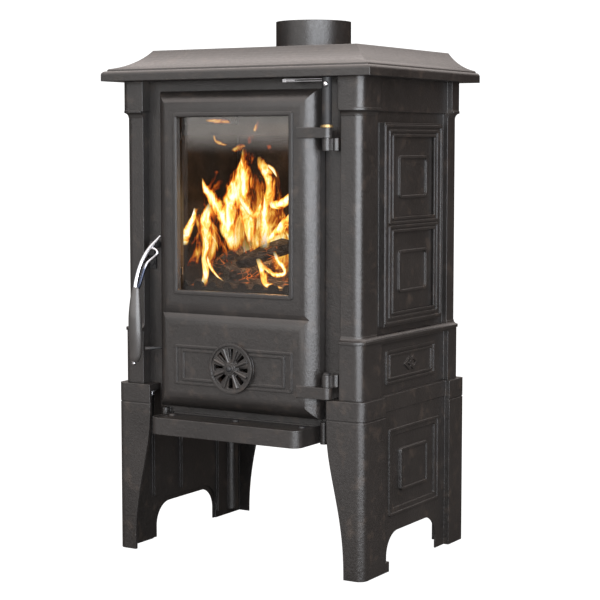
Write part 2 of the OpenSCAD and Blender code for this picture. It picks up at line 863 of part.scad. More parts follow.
module door_casting() {
    skin_y = door_front + door_skin;
    color([0.14, 0.14, 0.15]) placed() {
        difference() {
            union() {
                intersection() {
                    translate([0, 0, door_z0 - 10]) linear_extrude(far) door_plan();
                    across_x(-far, far) door_shell_section();
                }
                door_lug(upper_lug_z);
                door_lug(lower_lug_z);
                // window bead
                across_y(door_front - bead_rise, door_front + 1) difference() {
                    window_outline(6.5, 4);
                    window_outline(1.5, 2);
                }
                across_y(door_front - bead_rise + 1.5, door_front + 1) window_outline(3, 2);
                // seat of the air wheel
                translate([0, 0, wheel_z]) rod_along_y(wheel_r - 1, wheel_y + 0.2, door_front + 1);
                // double frame of the lower panel
                across_y(door_front - 2.6, door_front + 1) translate([0, wheel_z]) {
                    bead_frame(222, 64, 2, 4);
                    bead_frame(195, 51, 2, 4);
                }
                // ear for the latch shaft
                translate([pivot_x, 0, pivot_z]) rod_along_y(9, ear_y[0], ear_y[1]);
                box([pivot_x, ear_y[0], pivot_z - 9], [-door_w / 2 + 4, ear_y[1], pivot_z + 9]);
            }
            // pocket behind the window part
            difference() {
                box([-pocket_w / 2, skin_y, valley_z + 18], [pocket_w / 2, 0, door_z1 - rim]);
                // bosses for the glass clips
                for (sx = [-1, 1], z = [window_z0 + 30, window_z1 - 30])
                    translate([sx * clip_x, 0, z]) rod_along_y(7, skin_y - 1, glass_y + glass_t);
            }
            // pocket behind the lower panel
            box([-pocket_w / 2, skin_y, door_z0 + rim], [pocket_w / 2, 0, valley_z - 18]);
            across_y(-far, 0) window_outline(0, 2);
            // groove for the rope seal
            across_y(door_back - 5, 0) translate([0, (door_z0 + door_z1) / 2])
                bead_frame(door_w - 7, door_z1 - door_z0 - 7, 6, 8);
            // air slots and the bolt's hole behind the wheel
            translate([0, 0, wheel_z]) rotate([0, slot_turn, 0]) across_y(-far, 0) wheel_slot_set(19);
            translate([0, 0, wheel_z]) rod_along_y(3.03, -far, 0);
            rest_bar(0.02);
            translate([pivot_x, 0, pivot_z]) rod_along_y(shaft_r + pin_gap, -far, 0);
            for (sx = [-1, 1], z = [window_z0 + 30, window_z1 - 30])
                translate([sx * clip_x, 0, z]) rod_along_y(2.05, skin_y + 1, 0);
        }
    }
}

clip_x = glass_w / 2 + 9.5;

module window_glass() {
    color([0.75, 0.8, 0.8, 0.3]) placed()
        across_y(glass_y, glass_y + glass_t) translate([0, (window_z0 + window_z1) / 2])
            round_rect(glass_w, window_z1 - window_z0 + 16, 3);
}

module glass_gasket() {
    color([0.2, 0.2, 0.2]) placed() across_y(glass_y - 2, glass_y)
        translate([0, (window_z0 + window_z1) / 2])
            bead_frame(glass_w, window_z1 - window_z0 + 16, 3, 6.5);
}

module glass_clips() {
    y = glass_y + glass_t;
    color([0.55, 0.55, 0.55]) placed()
        for (sx = [-1, 1], z = [window_z0 + 30, window_z1 - 30]) difference() {
            box([sx * (clip_x - 5) - 11, y, z - 6], [sx * (clip_x - 5) + 11, y + 2, z + 6]);
            translate([sx * clip_x, 0, z]) rod_along_y(2.3, -far, 0);
        }
}

module glass_clip_screws() {
    y = glass_y + glass_t;
    color([0.6, 0.6, 0.6]) placed()
        for (sx = [-1, 1], z = [window_z0 + 30, window_z1 - 30]) translate([sx * clip_x, 0, z]) {
            rod_along_y(2, y - 5, y + 2);
            rod_along_y(4, y + 2, y + 4.5);
        }
}

module door_rope() {
    color([0.3, 0.3, 0.29]) placed() across_y(door_back - 5, door_back + 1.6)
        translate([0, (door_z0 + door_z1) / 2])
            bead_frame(door_w - 7.4, door_z1 - door_z0 - 7.4, 5.8, 7.6);
}

// Bar on which the arm rests when the door is shut.
module rest_bar(gap) {
    translate([-door_w / 2 + 3, -168, 341.5]) rotate([0, -90, 50]) cylinder(r = 2 + gap, h = 30);
}

module handle_rest() {
    color([0.08, 0.08, 0.08]) placed() {
        rest_bar(0);
        translate([-door_w / 2 + 3, -168, 341.5]) rotate([0, -90, 50])
            translate([0, 0, 15]) cylinder(r = 3, h = 15);
    }
}

// ---- Air wheel ----

// Slots of the air wheel, as a 2D set of ring sectors of the given opening angle.
module wheel_slot_set(open_angle) {
    r0 = 15;
    r1 = 32;
    for (i = [0:wheel_slots - 1]) rotate(i * 360 / wheel_slots) intersection() {
        difference() {
            circle(r1);
            circle(r0);
        }
        polygon([[0, 0], [60 * tan(open_angle / 2), 60], [-60 * tan(open_angle / 2), 60]]);
    }
}

module air_wheel() {
    color([0.12, 0.12, 0.12]) placed() translate([0, 0, wheel_z]) difference() {
        union() {
            rod_along_y(wheel_r, wheel_y - wheel_t, wheel_y);
            rod_along_y(10.5, wheel_y - wheel_t - 2.5, wheel_y);
            rod_along_y(7.5, wheel_y - wheel_t - 4, wheel_y);
            // petals between the slots
            for (i = [0:wheel_slots - 1]) rotate([0, (i + 0.5) * 360 / wheel_slots, 0])
                translate([0, wheel_y - wheel_t + 1, 10]) cylinder(r = 2.6, h = 23);
        }
        // sunk ring between rim and hub
        difference() {
            rod_along_y(wheel_r - 4, wheel_y - wheel_t - 1, wheel_y - wheel_t + 2);
            rod_along_y(12.5, wheel_y - far, wheel_y);
            for (i = [0:wheel_slots - 1]) rotate([0, (i + 0.5) * 360 / wheel_slots, 0])
                translate([0, wheel_y - wheel_t + 1, 10]) cylinder(r = 2.6, h = 23);
        }
        across_y(-far, 0) wheel_slot_set(19);
        rod_along_y(3.06, -far, 0);
    }
}

module wheel_bolt() {
    head_y = wheel_y - wheel_t - 4.1;
    color([0.6, 0.6, 0.6]) placed() translate([0, 0, wheel_z]) {
        rod_along_y(3, head_y, -160);
        translate([0, head_y, 0]) rotate([90, 0, 0]) intersection() {
            cylinder(r = 5, h = 4);
            translate([0, 0, -3.4]) sphere(6.6);
        }
    }
}

module wheel_spring_washer() {
    y = door_front + door_skin;
    color([0.55, 0.55, 0.55]) placed() translate([0, 0, wheel_z]) difference() {
        rod_along_y(7, y, y + 1.6);
        rod_along_y(3.02, y - 1, y + 3);
    }
}

module wheel_nut() {
    y = door_front + door_skin + 1.6;
    color([0.55, 0.55, 0.55]) placed() translate([0, 0, wheel_z]) difference() {
        translate([0, y + 5, 0]) rotate([90, 0, 0]) cylinder(r = 5.8, h = 5, $fn = 6);
        rod_along_y(3.02, y - 1, y + 8);
    }
}

// ---- Handle ----

// Middle line of the bright arm, from inside the grip up to its tip, with its radius.
arm_path = [[-177, -204, 437.8], [-176.3, -202, 450.8], [-175, -199.5, 462.1], [-172.7, -197, 473.5],
            [-169.4, -194.5, 484.1], [-165.8, -192.5, 492.2], [-161.1, -190.5, 500.5],
            [-153.8, -188, 510.3], [-146, -186.2, 518.6], [-138.8, -185, 526.9]];
arm_taper = [1, 1, 1, 1, 1, 1, 0.95, 0.85, 0.65, 0.4];
// Middle line of the inner branch that closes the arm's eye.
eye_path = [[-172, -203.5, 439], [-168.3, -202, 447.8], [-165, -200, 460.9], [-161.9, -198, 472.3],
            [-158.7, -195.5, 481.2], [-154, -193.5, 486.5], [-148.1, -192, 491.5], [-142.6, -191, 496.5],
            [-141.6, -190, 500.3], [-144, -189.5, 503.4], [-149, -189, 505.5], [-156, -188.5, 506.5]];
eye_r = 2.3;
// Middle line, half width and half depth of the grip.
grip_path = [[-179.6, -205, 320.3], [-177.4, -205.5, 336.2], [-176.9, -206.5, 356], [-177.1, -207, 375.8],
             [-177.3, -207, 397.1], [-177.3, -205.5, 421.5], [-176.5, -203.5, 442.7]];
grip_taper = [0.6, 0.85, 0.98, 1, 0.95, 0.76, 0.52];
grip_depth = 18;
grip_end_z = 321.6;

// Tube of elliptic section along a list of points, its rings square to the path.
// a is the half width in the plane of the door, and b is the half depth.
module ring_tube(path, a, b, sides) {
    n = len(path);
    points = [for (i = [0:n - 1])
        let (raw = path[min(i + 1, n - 1)] - path[max(i - 1, 0)],
             t = raw / norm(raw),
             side = cross([0, 1, 0], t) / norm(cross([0, 1, 0], t)),
             up = cross(t, side))
        for (k = [0:sides - 1])
            path[i] + side * a[i] * cos(360 * k / sides) + up * b[i] * sin(360 * k / sides)];
    sheets = [for (i = [0:n - 2], k = [0:sides - 1])
        let (k2 = (k + 1) % sides)
        [i * sides + k, (i + 1) * sides + k, (i + 1) * sides + k2, i * sides + k2]];
    ends = [[for (k = [0:sides - 1]) k],
            [for (k = [sides - 1:-1:0]) (n - 1) * sides + k]];
    polyhedron(points, concat(sheets, ends), convexity = 6);
}

module handle_arm() {
    r = [for (t = arm_taper) t * arm_d / 2];
    eye = [for (p = eye_path) eye_r];
    color([0.85, 0.85, 0.87]) placed() difference() {
        union() {
            translate([pivot_x, 0, pivot_z]) rod_along_y(6, -184.5, boss_y);
            ring_tube(arm_path, r, r, 16);
            ring_tube(eye_path, eye, eye, 12);
        }
        translate([pivot_x, 0, pivot_z]) rod_along_y(shaft_r, -178, 0);
    }
}

module handle_grip() {
    half = [for (t = grip_taper) t * grip_w / 2];
    depth = [for (t = grip_taper) t * grip_depth / 2];
    socket = [for (p = arm_path) arm_d / 2 + 0.02];
    color([0.07, 0.07, 0.07]) placed() difference() {
        ring_tube(grip_path, half, depth, 24);
        box([-far, -far, 0], [0, 0, grip_end_z]);
        ring_tube(arm_path, socket, socket, 16);
        ring_tube(eye_path, [for (p = eye_path) eye_r + 0.02], [for (p = eye_path) eye_r + 0.02], 12);
    }
}

module grip_tip() {
    color([0.85, 0.85, 0.87]) placed() translate([-179.4, -205, grip_end_z]) mirror([0, 0, 1]) {
        cylinder(r1 = 5, r2 = 3.6, h = 3);
        translate([0, 0, 3.7]) sphere(3.6);
    }
}

module latch_shaft() {
    color([0.3, 0.3, 0.31]) placed() translate([pivot_x, 0, pivot_z])
        rod_along_y(shaft_r - 0.02, -178, -151.2);
}

module latch_tongue() {
    color([0.3, 0.3, 0.31]) placed() difference() {
        union() {
            translate([pivot_x, 0, pivot_z]) rod_along_y(6, tongue_y[0], tongue_y[1]);
            box([pivot_x - 23, tongue_y[0], pivot_z - 7],
                [pivot_x, tongue_y[1], pivot_z + 1]);
        }
        translate([pivot_x, 0, pivot_z]) rod_along_y(shaft_r, -far, 0);
    }
}

module latch_nut() {
    color([0.55, 0.55, 0.55]) placed() translate([pivot_x, 0, pivot_z]) difference() {
        translate([0, -151.2, 0]) rotate([90, 0, 0]) cylinder(r = 6.2, h = 2.2, $fn = 6);
        rod_along_y(shaft_r, -far, 0);
    }
}

leg_frame_left();
leg_frame_right();
base_plate();
ash_lip();
lip_screws();
side_casting_left();
side_casting_right();
front_frame();
back_plate();
top_plate();
flue_collar();
flue_screws();
tie_rods();
tie_rod_nuts();
firebox_floor();
grate();
floor_posts();
ash_pan();
ash_pan_bail();
log_guard();
firebrick_left();
firebrick_right();
firebrick_rear();
baffle_plate();
latch_keeper();
keeper_screws();
hinge_pin_upper();
hinge_pin_lower();
hinge_washer();
hinge_sleeve();
closing_spring();
spring_arm();
sleeve_screw();
door_casting();
window_glass();
glass_gasket();
glass_clips();
glass_clip_screws();
door_rope();
handle_rest();
wheel_bolt();
wheel_spring_washer();
wheel_nut();
air_wheel();
handle_arm();
handle_grip();
grip_tip();
latch_shaft();
latch_tongue();
latch_nut();
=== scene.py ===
"""Looks of the cast-iron stove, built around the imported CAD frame."""

import json
import math
import random

import bmesh
import bpy
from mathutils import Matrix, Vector, noise


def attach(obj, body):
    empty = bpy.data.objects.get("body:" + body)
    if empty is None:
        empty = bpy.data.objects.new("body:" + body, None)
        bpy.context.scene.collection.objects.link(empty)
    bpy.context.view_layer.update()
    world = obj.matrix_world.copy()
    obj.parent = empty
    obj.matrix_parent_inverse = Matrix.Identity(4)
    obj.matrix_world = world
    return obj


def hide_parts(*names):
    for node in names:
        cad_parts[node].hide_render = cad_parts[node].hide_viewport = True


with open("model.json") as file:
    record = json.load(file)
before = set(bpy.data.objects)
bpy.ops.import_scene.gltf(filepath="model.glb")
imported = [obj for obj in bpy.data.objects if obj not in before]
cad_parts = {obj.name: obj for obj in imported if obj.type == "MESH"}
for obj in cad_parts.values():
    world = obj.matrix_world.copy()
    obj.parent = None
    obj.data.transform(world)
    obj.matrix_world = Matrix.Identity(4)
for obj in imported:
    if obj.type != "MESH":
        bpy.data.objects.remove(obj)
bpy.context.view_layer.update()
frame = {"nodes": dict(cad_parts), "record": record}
nodes = frame["nodes"]
record = frame["record"]
scene = bpy.context.scene
body_of_node = {n: b for b, group in record["behaviour"]["bodies"].items() for n in group}

MM = 0.001
# the ash lip sticks out in front, so the case's middle lies this far behind the whole stove's
BODY_Y = 12.75


def at(x, y, z):
    """Point of the case, in millimetres from its middle, as a place in the frame."""
    return Vector((x, y + BODY_Y, z)) * MM


# ---- Camera ----

AZIMUTH, ELEVATION = math.radians(31.04), math.radians(5.16)
CAMERA_PLACE = (1.4751, -2.41455, 0.6706)
LENS, SENSOR = 101.8, 36.0


def direction(azimuth, elevation):
    """Unit vector towards a side of the room; azimuth 0 is the front and pi / 2 the hinge side."""
    return Vector((math.sin(azimuth) * math.cos(elevation),
                   -math.cos(azimuth) * math.cos(elevation), math.sin(elevation)))


camera_data = bpy.data.cameras.new("camera")
camera_data.lens, camera_data.sensor_width = LENS, SENSOR
camera = bpy.data.objects.new("camera", camera_data)
scene.collection.objects.link(camera)
camera.rotation_mode = "QUATERNION"
camera.rotation_quaternion = (-direction(AZIMUTH, ELEVATION)).to_track_quat("-Z", "Y")
camera.location = CAMERA_PLACE
scene.camera = camera

scene.view_settings.view_transform = "Standard"


# ---- Node helpers ----

class Shader:
    """Short way to add shader nodes: s("Math", {0: a, 1: 2.0}, operation="ADD")."""

    def __init__(self, tree):
        self.tree = tree
        tree.nodes.clear()

    def __call__(self, kind, inputs=None, **settings):
        node = self.tree.nodes.new("ShaderNode" + kind)
        for key, value in settings.items():
            setattr(node, key, value)
        for key, value in (inputs or {}).items():
            socket = node.inputs[key]
            if isinstance(value, bpy.types.NodeSocket):
                self.tree.links.new(value, socket)
            else:
                socket.default_value = value
        return node

    def math(self, operation, a, b=0.0, clamp=False):
        return self("Math", {0: a, 1: b}, operation=operation, use_clamp=clamp).outputs[0]

    def noise(self, vector, scale, detail=3.0, roughness=0.55, distortion=0.0):
        return self("TexNoise", {"Vector": vector, "Scale": scale, "Detail": detail,
                                 "Roughness": roughness, "Distortion": distortion}).outputs["Fac"]

    def spread(self, value, low, high, to_low, to_high):
        return self("MapRange", {"Value": value, "From Min": low, "From Max": high,
                                 "To Min": to_low, "To Max": to_high}).outputs["Result"]

    def ramp(self, value, stops):
        node = self("ValToRGB", {"Fac": value})
        elements = node.color_ramp.elements
        while len(elements) < len(stops):
            elements.new(0.5)
        for element, (place, color) in zip(elements, stops):
            element.position = place
            element.color = (*color, 1) if len(color) == 3 else color
        return node.outputs["Color"]

    def mix(self, factor, a, b):
        return self("Mix", {0: factor, 6: a, 7: b}, data_type="RGBA").outputs[2]

    def bump(self, height, strength, distance, normal=None):
        inputs = {"Height": height, "Strength": strength, "Distance": distance}
        if normal is not None:
            inputs["Normal"] = normal
        return self("Bump", inputs).outputs["Normal"]

    def output(self, surface, kind="Material"):
        node = self.tree.nodes.new("ShaderNodeOutput" + kind)
        self.tree.links.new(surface, node.inputs["Surface"])


def new_material(name):
    material = bpy.data.materials.new(name)
    material.use_nodes = True
    s = Shader(material.node_tree)
    return material, s, s("TexCoord").outputs["Object"]


def rgb(r, g, b):
    return (r, g, b, 1)


# ---- Surroundings ----

world = bpy.data.worlds.new("white_room")
world.use_nodes = True
w = Shader(world.node_tree)
toward = w("TexCoord").outputs["Generated"]


def toward_side(azimuth, low, high):
    """0 away from a side of the room, 1 towards it."""
    side = tuple(direction(math.radians(azimuth), 0))
    facing = w("VectorMath", {0: toward, 1: side}, operation="DOT_PRODUCT").outputs["Value"]
    return w.spread(facing, low, high, 0, 1)


# parts of the walls that aren't grey: azimuth, where the change starts and ends, colour
walls = rgb(0.34, 0.34, 0.36)
for azimuth, low, high, color in ((-12, 0.72, 0.98, rgb(3.3, 3.25, 3.22)),
                                  (150, 0.1, 0.8, rgb(0.09, 0.052, 0.036)),
                                  (-137, 0.2, 0.8, rgb(0.035, 0.026, 0.02))):
    walls = w.mix(toward_side(azimuth, low, high), walls, color)
# dark below the horizon, and a bright ceiling
upward = w("SeparateXYZ", {0: toward}).outputs["Z"]
walls = w.mix(w.spread(upward, -0.003, 0.007, 0, 1), rgb(0.04, 0.027, 0.02), walls)
lit_room = w.mix(w.spread(upward, 0.30, 0.66, 0, 1), walls, rgb(3.2, 2.9, 2.78))
seen = w("LightPath").outputs["Is Camera Ray"]
room = w("Background", {"Color": lit_room, "Strength": 1.0}).outputs[0]
backdrop = w("Background", {"Color": rgb(1, 1, 1), "Strength": 1.2}).outputs[0]
w.output(w("MixShader", {0: seen, 1: room, 2: backdrop}).outputs[0], "World")
scene.world = world

# The camera sees a nearly white floor. Reflections and bounced light see a dark one, paler in front.
FLOOR_SIZE = 30
SHADED_PART = 0.06
bpy.ops.mesh.primitive_plane_add(size=FLOOR_SIZE)
floor = bpy.context.object
floor.name = "floor"
floor_material, s, coord = new_material("floor")
in_front = s.math("MULTIPLY", s("SeparateXYZ", {0: coord}).outputs["Y"], -1)
near = s.math("MULTIPLY", s.spread(in_front, 0.1, 0.8, 0, 1), s.spread(in_front, 3.5, 7.0, 1, 0))
plain = s("BsdfDiffuse", {"Color": s.mix(near, rgb(0.05, 0.047, 0.044), rgb(0.26, 0.26, 0.26))}).outputs[0]
paper = s("Emission", {"Color": rgb(1, 1, 1), "Strength": 1.12}).outputs[0]
shaded = s("BsdfDiffuse", {"Color": rgb(0.9, 0.9, 0.9)}).outputs[0]
pale = s("MixShader", {0: SHADED_PART, 1: paper, 2: shaded}).outputs[0]
s.output(s("MixShader", {0: s("LightPath").outputs["Is Camera Ray"], 1: plain, 2: pale}).outputs[0])
floor.data.materials.append(floor_material)

LIGHT_TARGET = Vector((0, 0, 0.45))
FIRE_LIGHT_COLOR, FIRE_LIGHT_RADIUS = (1.0, 0.50, 0.20), 0.04


def add_light(name, kind, power, color):
    data = bpy.data.lights.new(name, kind)
    data.energy = power
    data.color = color
    light = bpy.data.objects.new(name, data)
    scene.collection.objects.link(light)
    return light


def area_light(name, azimuth, elevation, distance, size, power, color):
    """Rectangle of light of size (width, height) that faces the middle of the stove."""
    away = direction(math.radians(azimuth), math.radians(elevation))
    light = add_light(name, "AREA", power, color)
    light.data.shape = "RECTANGLE"
    light.data.size, light.data.size_y = size
    light.location = LIGHT_TARGET + away * distance
    light.rotation_mode = "QUATERNION"
    light.rotation_quaternion = (-away).to_track_quat("-Z", "Y")


area_light("key", 47, 8, 2.6, (3.1, 2.0), 180, (0.92, 0.95, 1.0))
for name, place, power in (("fire_glow", (-30, -30, 500), 0.8), ("fire_front", (0, -112, 590), 0.45)):
    glow = add_light(name, "POINT", power, FIRE_LIGHT_COLOR)
    glow.data.shadow_soft_size = FIRE_LIGHT_RADIUS
    glow.location = at(*place)


# ---- Materials ----

EDGE_RADIUS = 0.0015


def cast_iron(name, dark, light, roughness, relief=1.0, specular=0.5):
    """Sand-cast surface with soft edges, patches of tone and faint warm stains."""
    material, s, coord = new_material(name)
    grain = s.noise(coord, 820, 2)
    sand = s.noise(coord, 230, 4, 0.6)
    broad = s.noise(coord, 11, 4, 0.6)
    tone = s.ramp(s.math("ADD", s.math("MULTIPLY", broad, 0.65), s.math("MULTIPLY", sand, 0.35)),
                  [(0.32, dark), (0.68, light)])
    warm = s.mix(s.spread(s.noise(coord, 46, 3), 0.56, 0.74, 0, 0.35), tone, rgb(0.046, 0.034, 0.026))
    height = s.math("ADD", s.math("MULTIPLY", sand, 0.75), s.math("MULTIPLY", grain, 0.25))
    rounded = s("Bevel", {"Radius": EDGE_RADIUS * relief}, samples=6).outputs[0]
    normal = s.bump(height, 0.5 * relief, 0.0009, rounded)
    normal = s.bump(s.noise(coord, 26, 2), 0.25 * relief, 0.0012, normal)
    s.output(s("BsdfPrincipled", {
        "Base Color": warm, "Roughness": s.spread(sand, 0.3, 0.7, roughness - 0.05, roughness + 0.09),
        "Specular IOR Level": specular, "Normal": normal}).outputs[0])
    return material


def metal(name, base, roughness, tarnish=0.3, scratches=140.0, bumpy=0.12, painted_reflection_below=None):
    """Bare metal with drawn streaks; below the given height (in metres) it is painted dark blue, a painted
    dark reflection.
    """
    material, s, coord = new_material(name)
    drawn = s("Mapping", {"Vector": coord, "Scale": (1, 1, 0.08)}).outputs[0]
    streak = s.noise(drawn, scratches * 6, 2)
    patch = s.noise(coord, scratches, 3)
    dull = tuple(c * 0.55 for c in base)
    tone = s.mix(s.spread(patch, 0.42, 0.75, 0, tarnish), rgb(*base), rgb(*dull))
    # painted reflection: below this height the metal's colour is painted dark blue
    if painted_reflection_below:
        height = s("SeparateXYZ", {0: coord}).outputs["Z"]
        tone = s.mix(s.spread(height, painted_reflection_below - 0.006, painted_reflection_below + 0.006, 0, 1),
                     rgb(0.045, 0.052, 0.075), tone)
    s.output(s("BsdfPrincipled", {
        "Base Color": tone, "Metallic": 1.0,
        "Roughness": s.spread(streak, 0.3, 0.7, roughness * 0.75, roughness * 1.35),
        "Normal": s.bump(streak, bumpy, 0.0002)}).outputs[0])
    return material


def firebrick(name):
    """Porous brick under patches of soot."""
    material, s, coord = new_material(name)
    pores = s("TexVoronoi", {"Vector": coord, "Scale": 210.0}).outputs["Distance"]
    grit = s.noise(coord, 160, 4, 0.65)
    soot = s.noise(coord, 14, 4, 0.6)
    base = s.ramp(grit, [(0.3, (0.05, 0.04, 0.03)), (0.7, (0.12, 0.09, 0.065))])
    tone = s.mix(s.spread(soot, 0.36, 0.62, 0.45, 0.97), base, rgb(0.008, 0.007, 0.006))
    height = s.math("SUBTRACT", grit, s.math("MULTIPLY", s.math("LESS_THAN", pores, 0.22), 0.5))
    s.output(s("BsdfPrincipled", {"Base Color": tone, "Roughness": 0.92,
                                  "Normal": s.bump(height, 0.6, 0.0012)}).outputs[0])
    return material


def galvanised(name):
    """Zinc spangle: patches of crystal that differ in tone and gloss."""
    material, s, coord = new_material(name)
    spangle = s("TexVoronoi", {"Vector": coord, "Scale": 75.0}).outputs["Color"]
    cell = s("SeparateColor", {0: spangle}).outputs[0]
    s.output(s("BsdfPrincipled", {
        "Base Color": s.ramp(cell, [(0.0, (0.30, 0.31, 0.32)), (1.0, (0.48, 0.49, 0.50))]),
        "Metallic": 0.9, "Roughness": s.spread(cell, 0, 1, 0.32, 0.55),
        "Normal": s.bump(s.noise(coord, 300, 2), 0.15, 0.0004)}).outputs[0])
    return material


def braided(name):
    """Rope of two crossing strands with loose fibres."""
    material, s, coord = new_material(name)
    strands = []
    for turn in (0.8, -0.8):
        turned = s("Mapping", {"Vector": coord, "Rotation": (turn, turn, turn)}).outputs[0]
        strands.append(s("TexWave", {"Vector": turned, "Scale": 95.0, "Distortion": 1.2,
                                     "Detail": 2.0, "Detail Scale": 2.0}).outputs["Fac"])
    weave = s.math("MAXIMUM", strands[0], strands[1])
    fuzz = s.noise(coord, 900, 2)
    s.output(s("BsdfPrincipled", {
        "Base Color": s.ramp(s.math("ADD", s.math("MULTIPLY", weave, 0.7), s.math("MULTIPLY", fuzz, 0.3)),
                             [(0.15, (0.012, 0.012, 0.012)), (0.9, (0.085, 0.083, 0.078))]),
        "Roughness": 0.93, "Sheen Weight": 0.25,
        "Normal": s.bump(weave, 0.8, 0.0012, s.bump(fuzz, 0.4, 0.0003))}).outputs[0])
    return material


def moulded(name):
    """Black plastic with flow marks under a thin gloss."""
    material, s, coord = new_material(name)
    flow = s("Mapping", {"Vector": coord, "Scale": (1, 1, 0.15)}).outputs[0]
    swirl = s.noise(flow, 60, 3)
    fleck = s.noise(coord, 900, 2)
    s.output(s("BsdfPrincipled", {
        "Base Color": s.ramp(swirl, [(0.35, (0.012, 0.011, 0.010)), (0.7, (0.030, 0.027, 0.025))]),
        "Roughness": s.spread(fleck, 0.3, 0.7, 0.36, 0.5), "Specular IOR Level": 0.6,
        "Coat Weight": 0.25, "Coat Roughness": 0.12,
        "Normal": s.bump(fleck, 0.12, 0.0002)}).outputs[0])
    return material


def stove_glass(name):
    """Clear pane with a film of soot in patches."""
    material, s, coord = new_material(name)
    haze = s.noise(coord, 18, 4, 0.6)
    clear = s("BsdfTransparent", {"Color": rgb(0.90, 0.88, 0.86)}).outputs[0]
    shine = s("BsdfGlossy", {"Color": rgb(1, 0.98, 0.95), "Roughness": 0.03}).outputs[0]
    bent = s("Fresnel", {"IOR": 1.42}).outputs[0]
    soot = s("BsdfDiffuse", {"Color": rgb(0.02, 0.017, 0.014)}).outputs[0]
    pane = s("MixShader", {0: bent, 1: clear, 2: shine}).outputs[0]
    s.output(s("MixShader", {0: s.spread(haze, 0.45, 0.8, 0.0, 0.16), 1: pane, 2: soot}).outputs[0])
    return material


materials = {
    "cast_iron": cast_iron("cast_iron", (0.0066, 0.0058, 0.0053), (0.0140, 0.0123, 0.0113), 0.33),
    "firebox_iron": cast_iron("firebox_iron", (0.006, 0.006, 0.006), (0.016, 0.014, 0.013), 0.72, 1.4, 0.3),
    "steel": metal("steel", (0.42, 0.42, 0.43), 0.38),
    "dark_steel": cast_iron("dark_steel", (0.005, 0.005, 0.0055), (0.012, 0.012, 0.0125), 0.5, 0.4, 0.3),
    "bright_metal": metal("bright_metal", (0.50, 0.50, 0.52), 0.2, 0.12, 60, 0.05),
    "firebrick": firebrick("firebrick"),
    "sheet_steel": galvanised("sheet_steel"),
    "brass": metal("brass", (0.30, 0.21, 0.10), 0.42, 0.5),
    "glass": stove_glass("glass"),
    "rope": braided("rope"),
    "grip": moulded("grip"),
}
slot_of_node = {part["node"]: part["material_slot"] for part in record["subparts"]}
for name, node in nodes.items():
    node.data.materials.clear()
    node.data.materials.append(materials[slot_of_node[name]])


# ---- Soft edges on the castings ----

def link_mesh(name, mesh, material):
    obj = bpy.data.objects.new(name, mesh)
    scene.collection.objects.link(obj)
    mesh.materials.clear()
    mesh.materials.append(material)
    return obj


def finished_mesh(name, bm):
    """The bmesh as a smooth-shaded mesh; the bmesh is freed."""
    mesh = bpy.data.meshes.new(name)
    bm.to_mesh(mesh)
    bm.free()
    mesh.shade_smooth()
    return mesh


# a region is flat within FLAT_ANGLE, and broad above this area (m2) and mean width (m)
FLAT_ANGLE = 0.003
FLAT_AREA, FLAT_WIDTH = 1.2e-3, 4e-3
MERGE_DISTANCE = 2e-6
SMOOTH_COSINE = math.cos(math.radians(26))


def flat_regions(bm):
    """True for every face that is part of a broad flat region of the casting."""
    flat = [None] * len(bm.faces)
    for start in bm.faces:
        if flat[start.index] is not None:
            continue
        region, stack = [], [start]
        flat[start.index] = False
        while stack:
            face = stack.pop()
            region.append(face)
            for edge in face.edges:
                if len(edge.link_faces) == 2 and edge.calc_face_angle() < FLAT_ANGLE:
                    for other in edge.link_faces:
                        if flat[other.index] is None:
                            flat[other.index] = False
                            stack.append(other)
        area = sum(face.calc_area() for face in region)
        corners = [v.co for face in region for v in face.verts]
        reach = (Vector(map(max, zip(*corners))) - Vector(map(min, zip(*corners)))).length
        if area > FLAT_AREA and area / reach > FLAT_WIDTH:
            for face in region:
                flat[face.index] = True
    return flat


def smooth_casting(name):
    """Copy of a casting whose fillets are shaded smooth and whose broad faces stay flat."""
    bm = bmesh.new()
    bm.from_mesh(nodes[name].data)
    bmesh.ops.remove_doubles(bm, verts=bm.verts, dist=MERGE_DISTANCE)
    bm.normal_update()
    bm.faces.index_update()
    flat = flat_regions(bm)
    normals = []
    for face in bm.faces:
        for loop in face.loops:
            near = [f for f in loop.vert.link_faces if f.normal.dot(face.normal) > SMOOTH_COSINE]
            broad = [f for f in near if flat[f.index]]
            if flat[face.index] or not near:
                normals.append(face.normal.copy())
            elif broad:
                normals.append(max(broad, key=lambda f: f.calc_area()).normal.copy())
            else:
                normals.append(sum((f.normal * f.calc_area() for f in near), Vector()).normalized())
    mesh = finished_mesh(name + "_cast", bm)
    mesh.normals_split_custom_set(normals)
    obj = link_mesh(name + "_cast", mesh, materials[slot_of_node[name]])
    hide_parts(name)
    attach(obj, body_of_node[name])


for name in ("leg_frame_left", "leg_frame_right", "side_casting_left", "side_casting_right", "top_plate",
             "door_casting", "ash_lip", "flue_collar", "front_frame", "back_plate", "air_wheel", "grate",
             "log_guard"):
    smooth_casting(name)


# ---- Swept pieces ----

def catmull(points, steps):
    """Smooth line through the points, with every column interpolated."""
    out = []
    last = len(points) - 1
    for i in range(last):
        p = [points[max(i - 1, 0)], points[i], points[i + 1], points[min(i + 2, last)]]
        for j in range(steps):
            t = j / steps
            out.append([0.5 * (2 * b + (c - a) * t + (2 * a - 5 * b + 4 * c - d) * t * t
                               + (3 * b - a - 3 * c + d) * t ** 3) for a, b, c, d in zip(*p)])
    out.append(list(points[-1]))
    return out


def swept(name, rings, material, body, crease=40):
    """Closed mesh through rings of points, capped at both ends."""
    bm = bmesh.new()
    loops = [[bm.verts.new(p) for p in ring] for ring in rings]
    count = len(loops[0])
    for a, b in zip(loops, loops[1:]):
        for k in range(count):
            bm.faces.new((a[k], a[(k + 1) % count], b[(k + 1) % count], b[k]))
    bm.faces.new(loops[0])
    bm.faces.new(list(reversed(loops[-1])))
    bmesh.ops.recalc_face_normals(bm, faces=bm.faces)
    mesh = finished_mesh(name, bm)
    mesh.set_sharp_from_angle(angle=math.radians(crease))
    obj = link_mesh(name, mesh, material)
    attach(obj, body)
    return obj


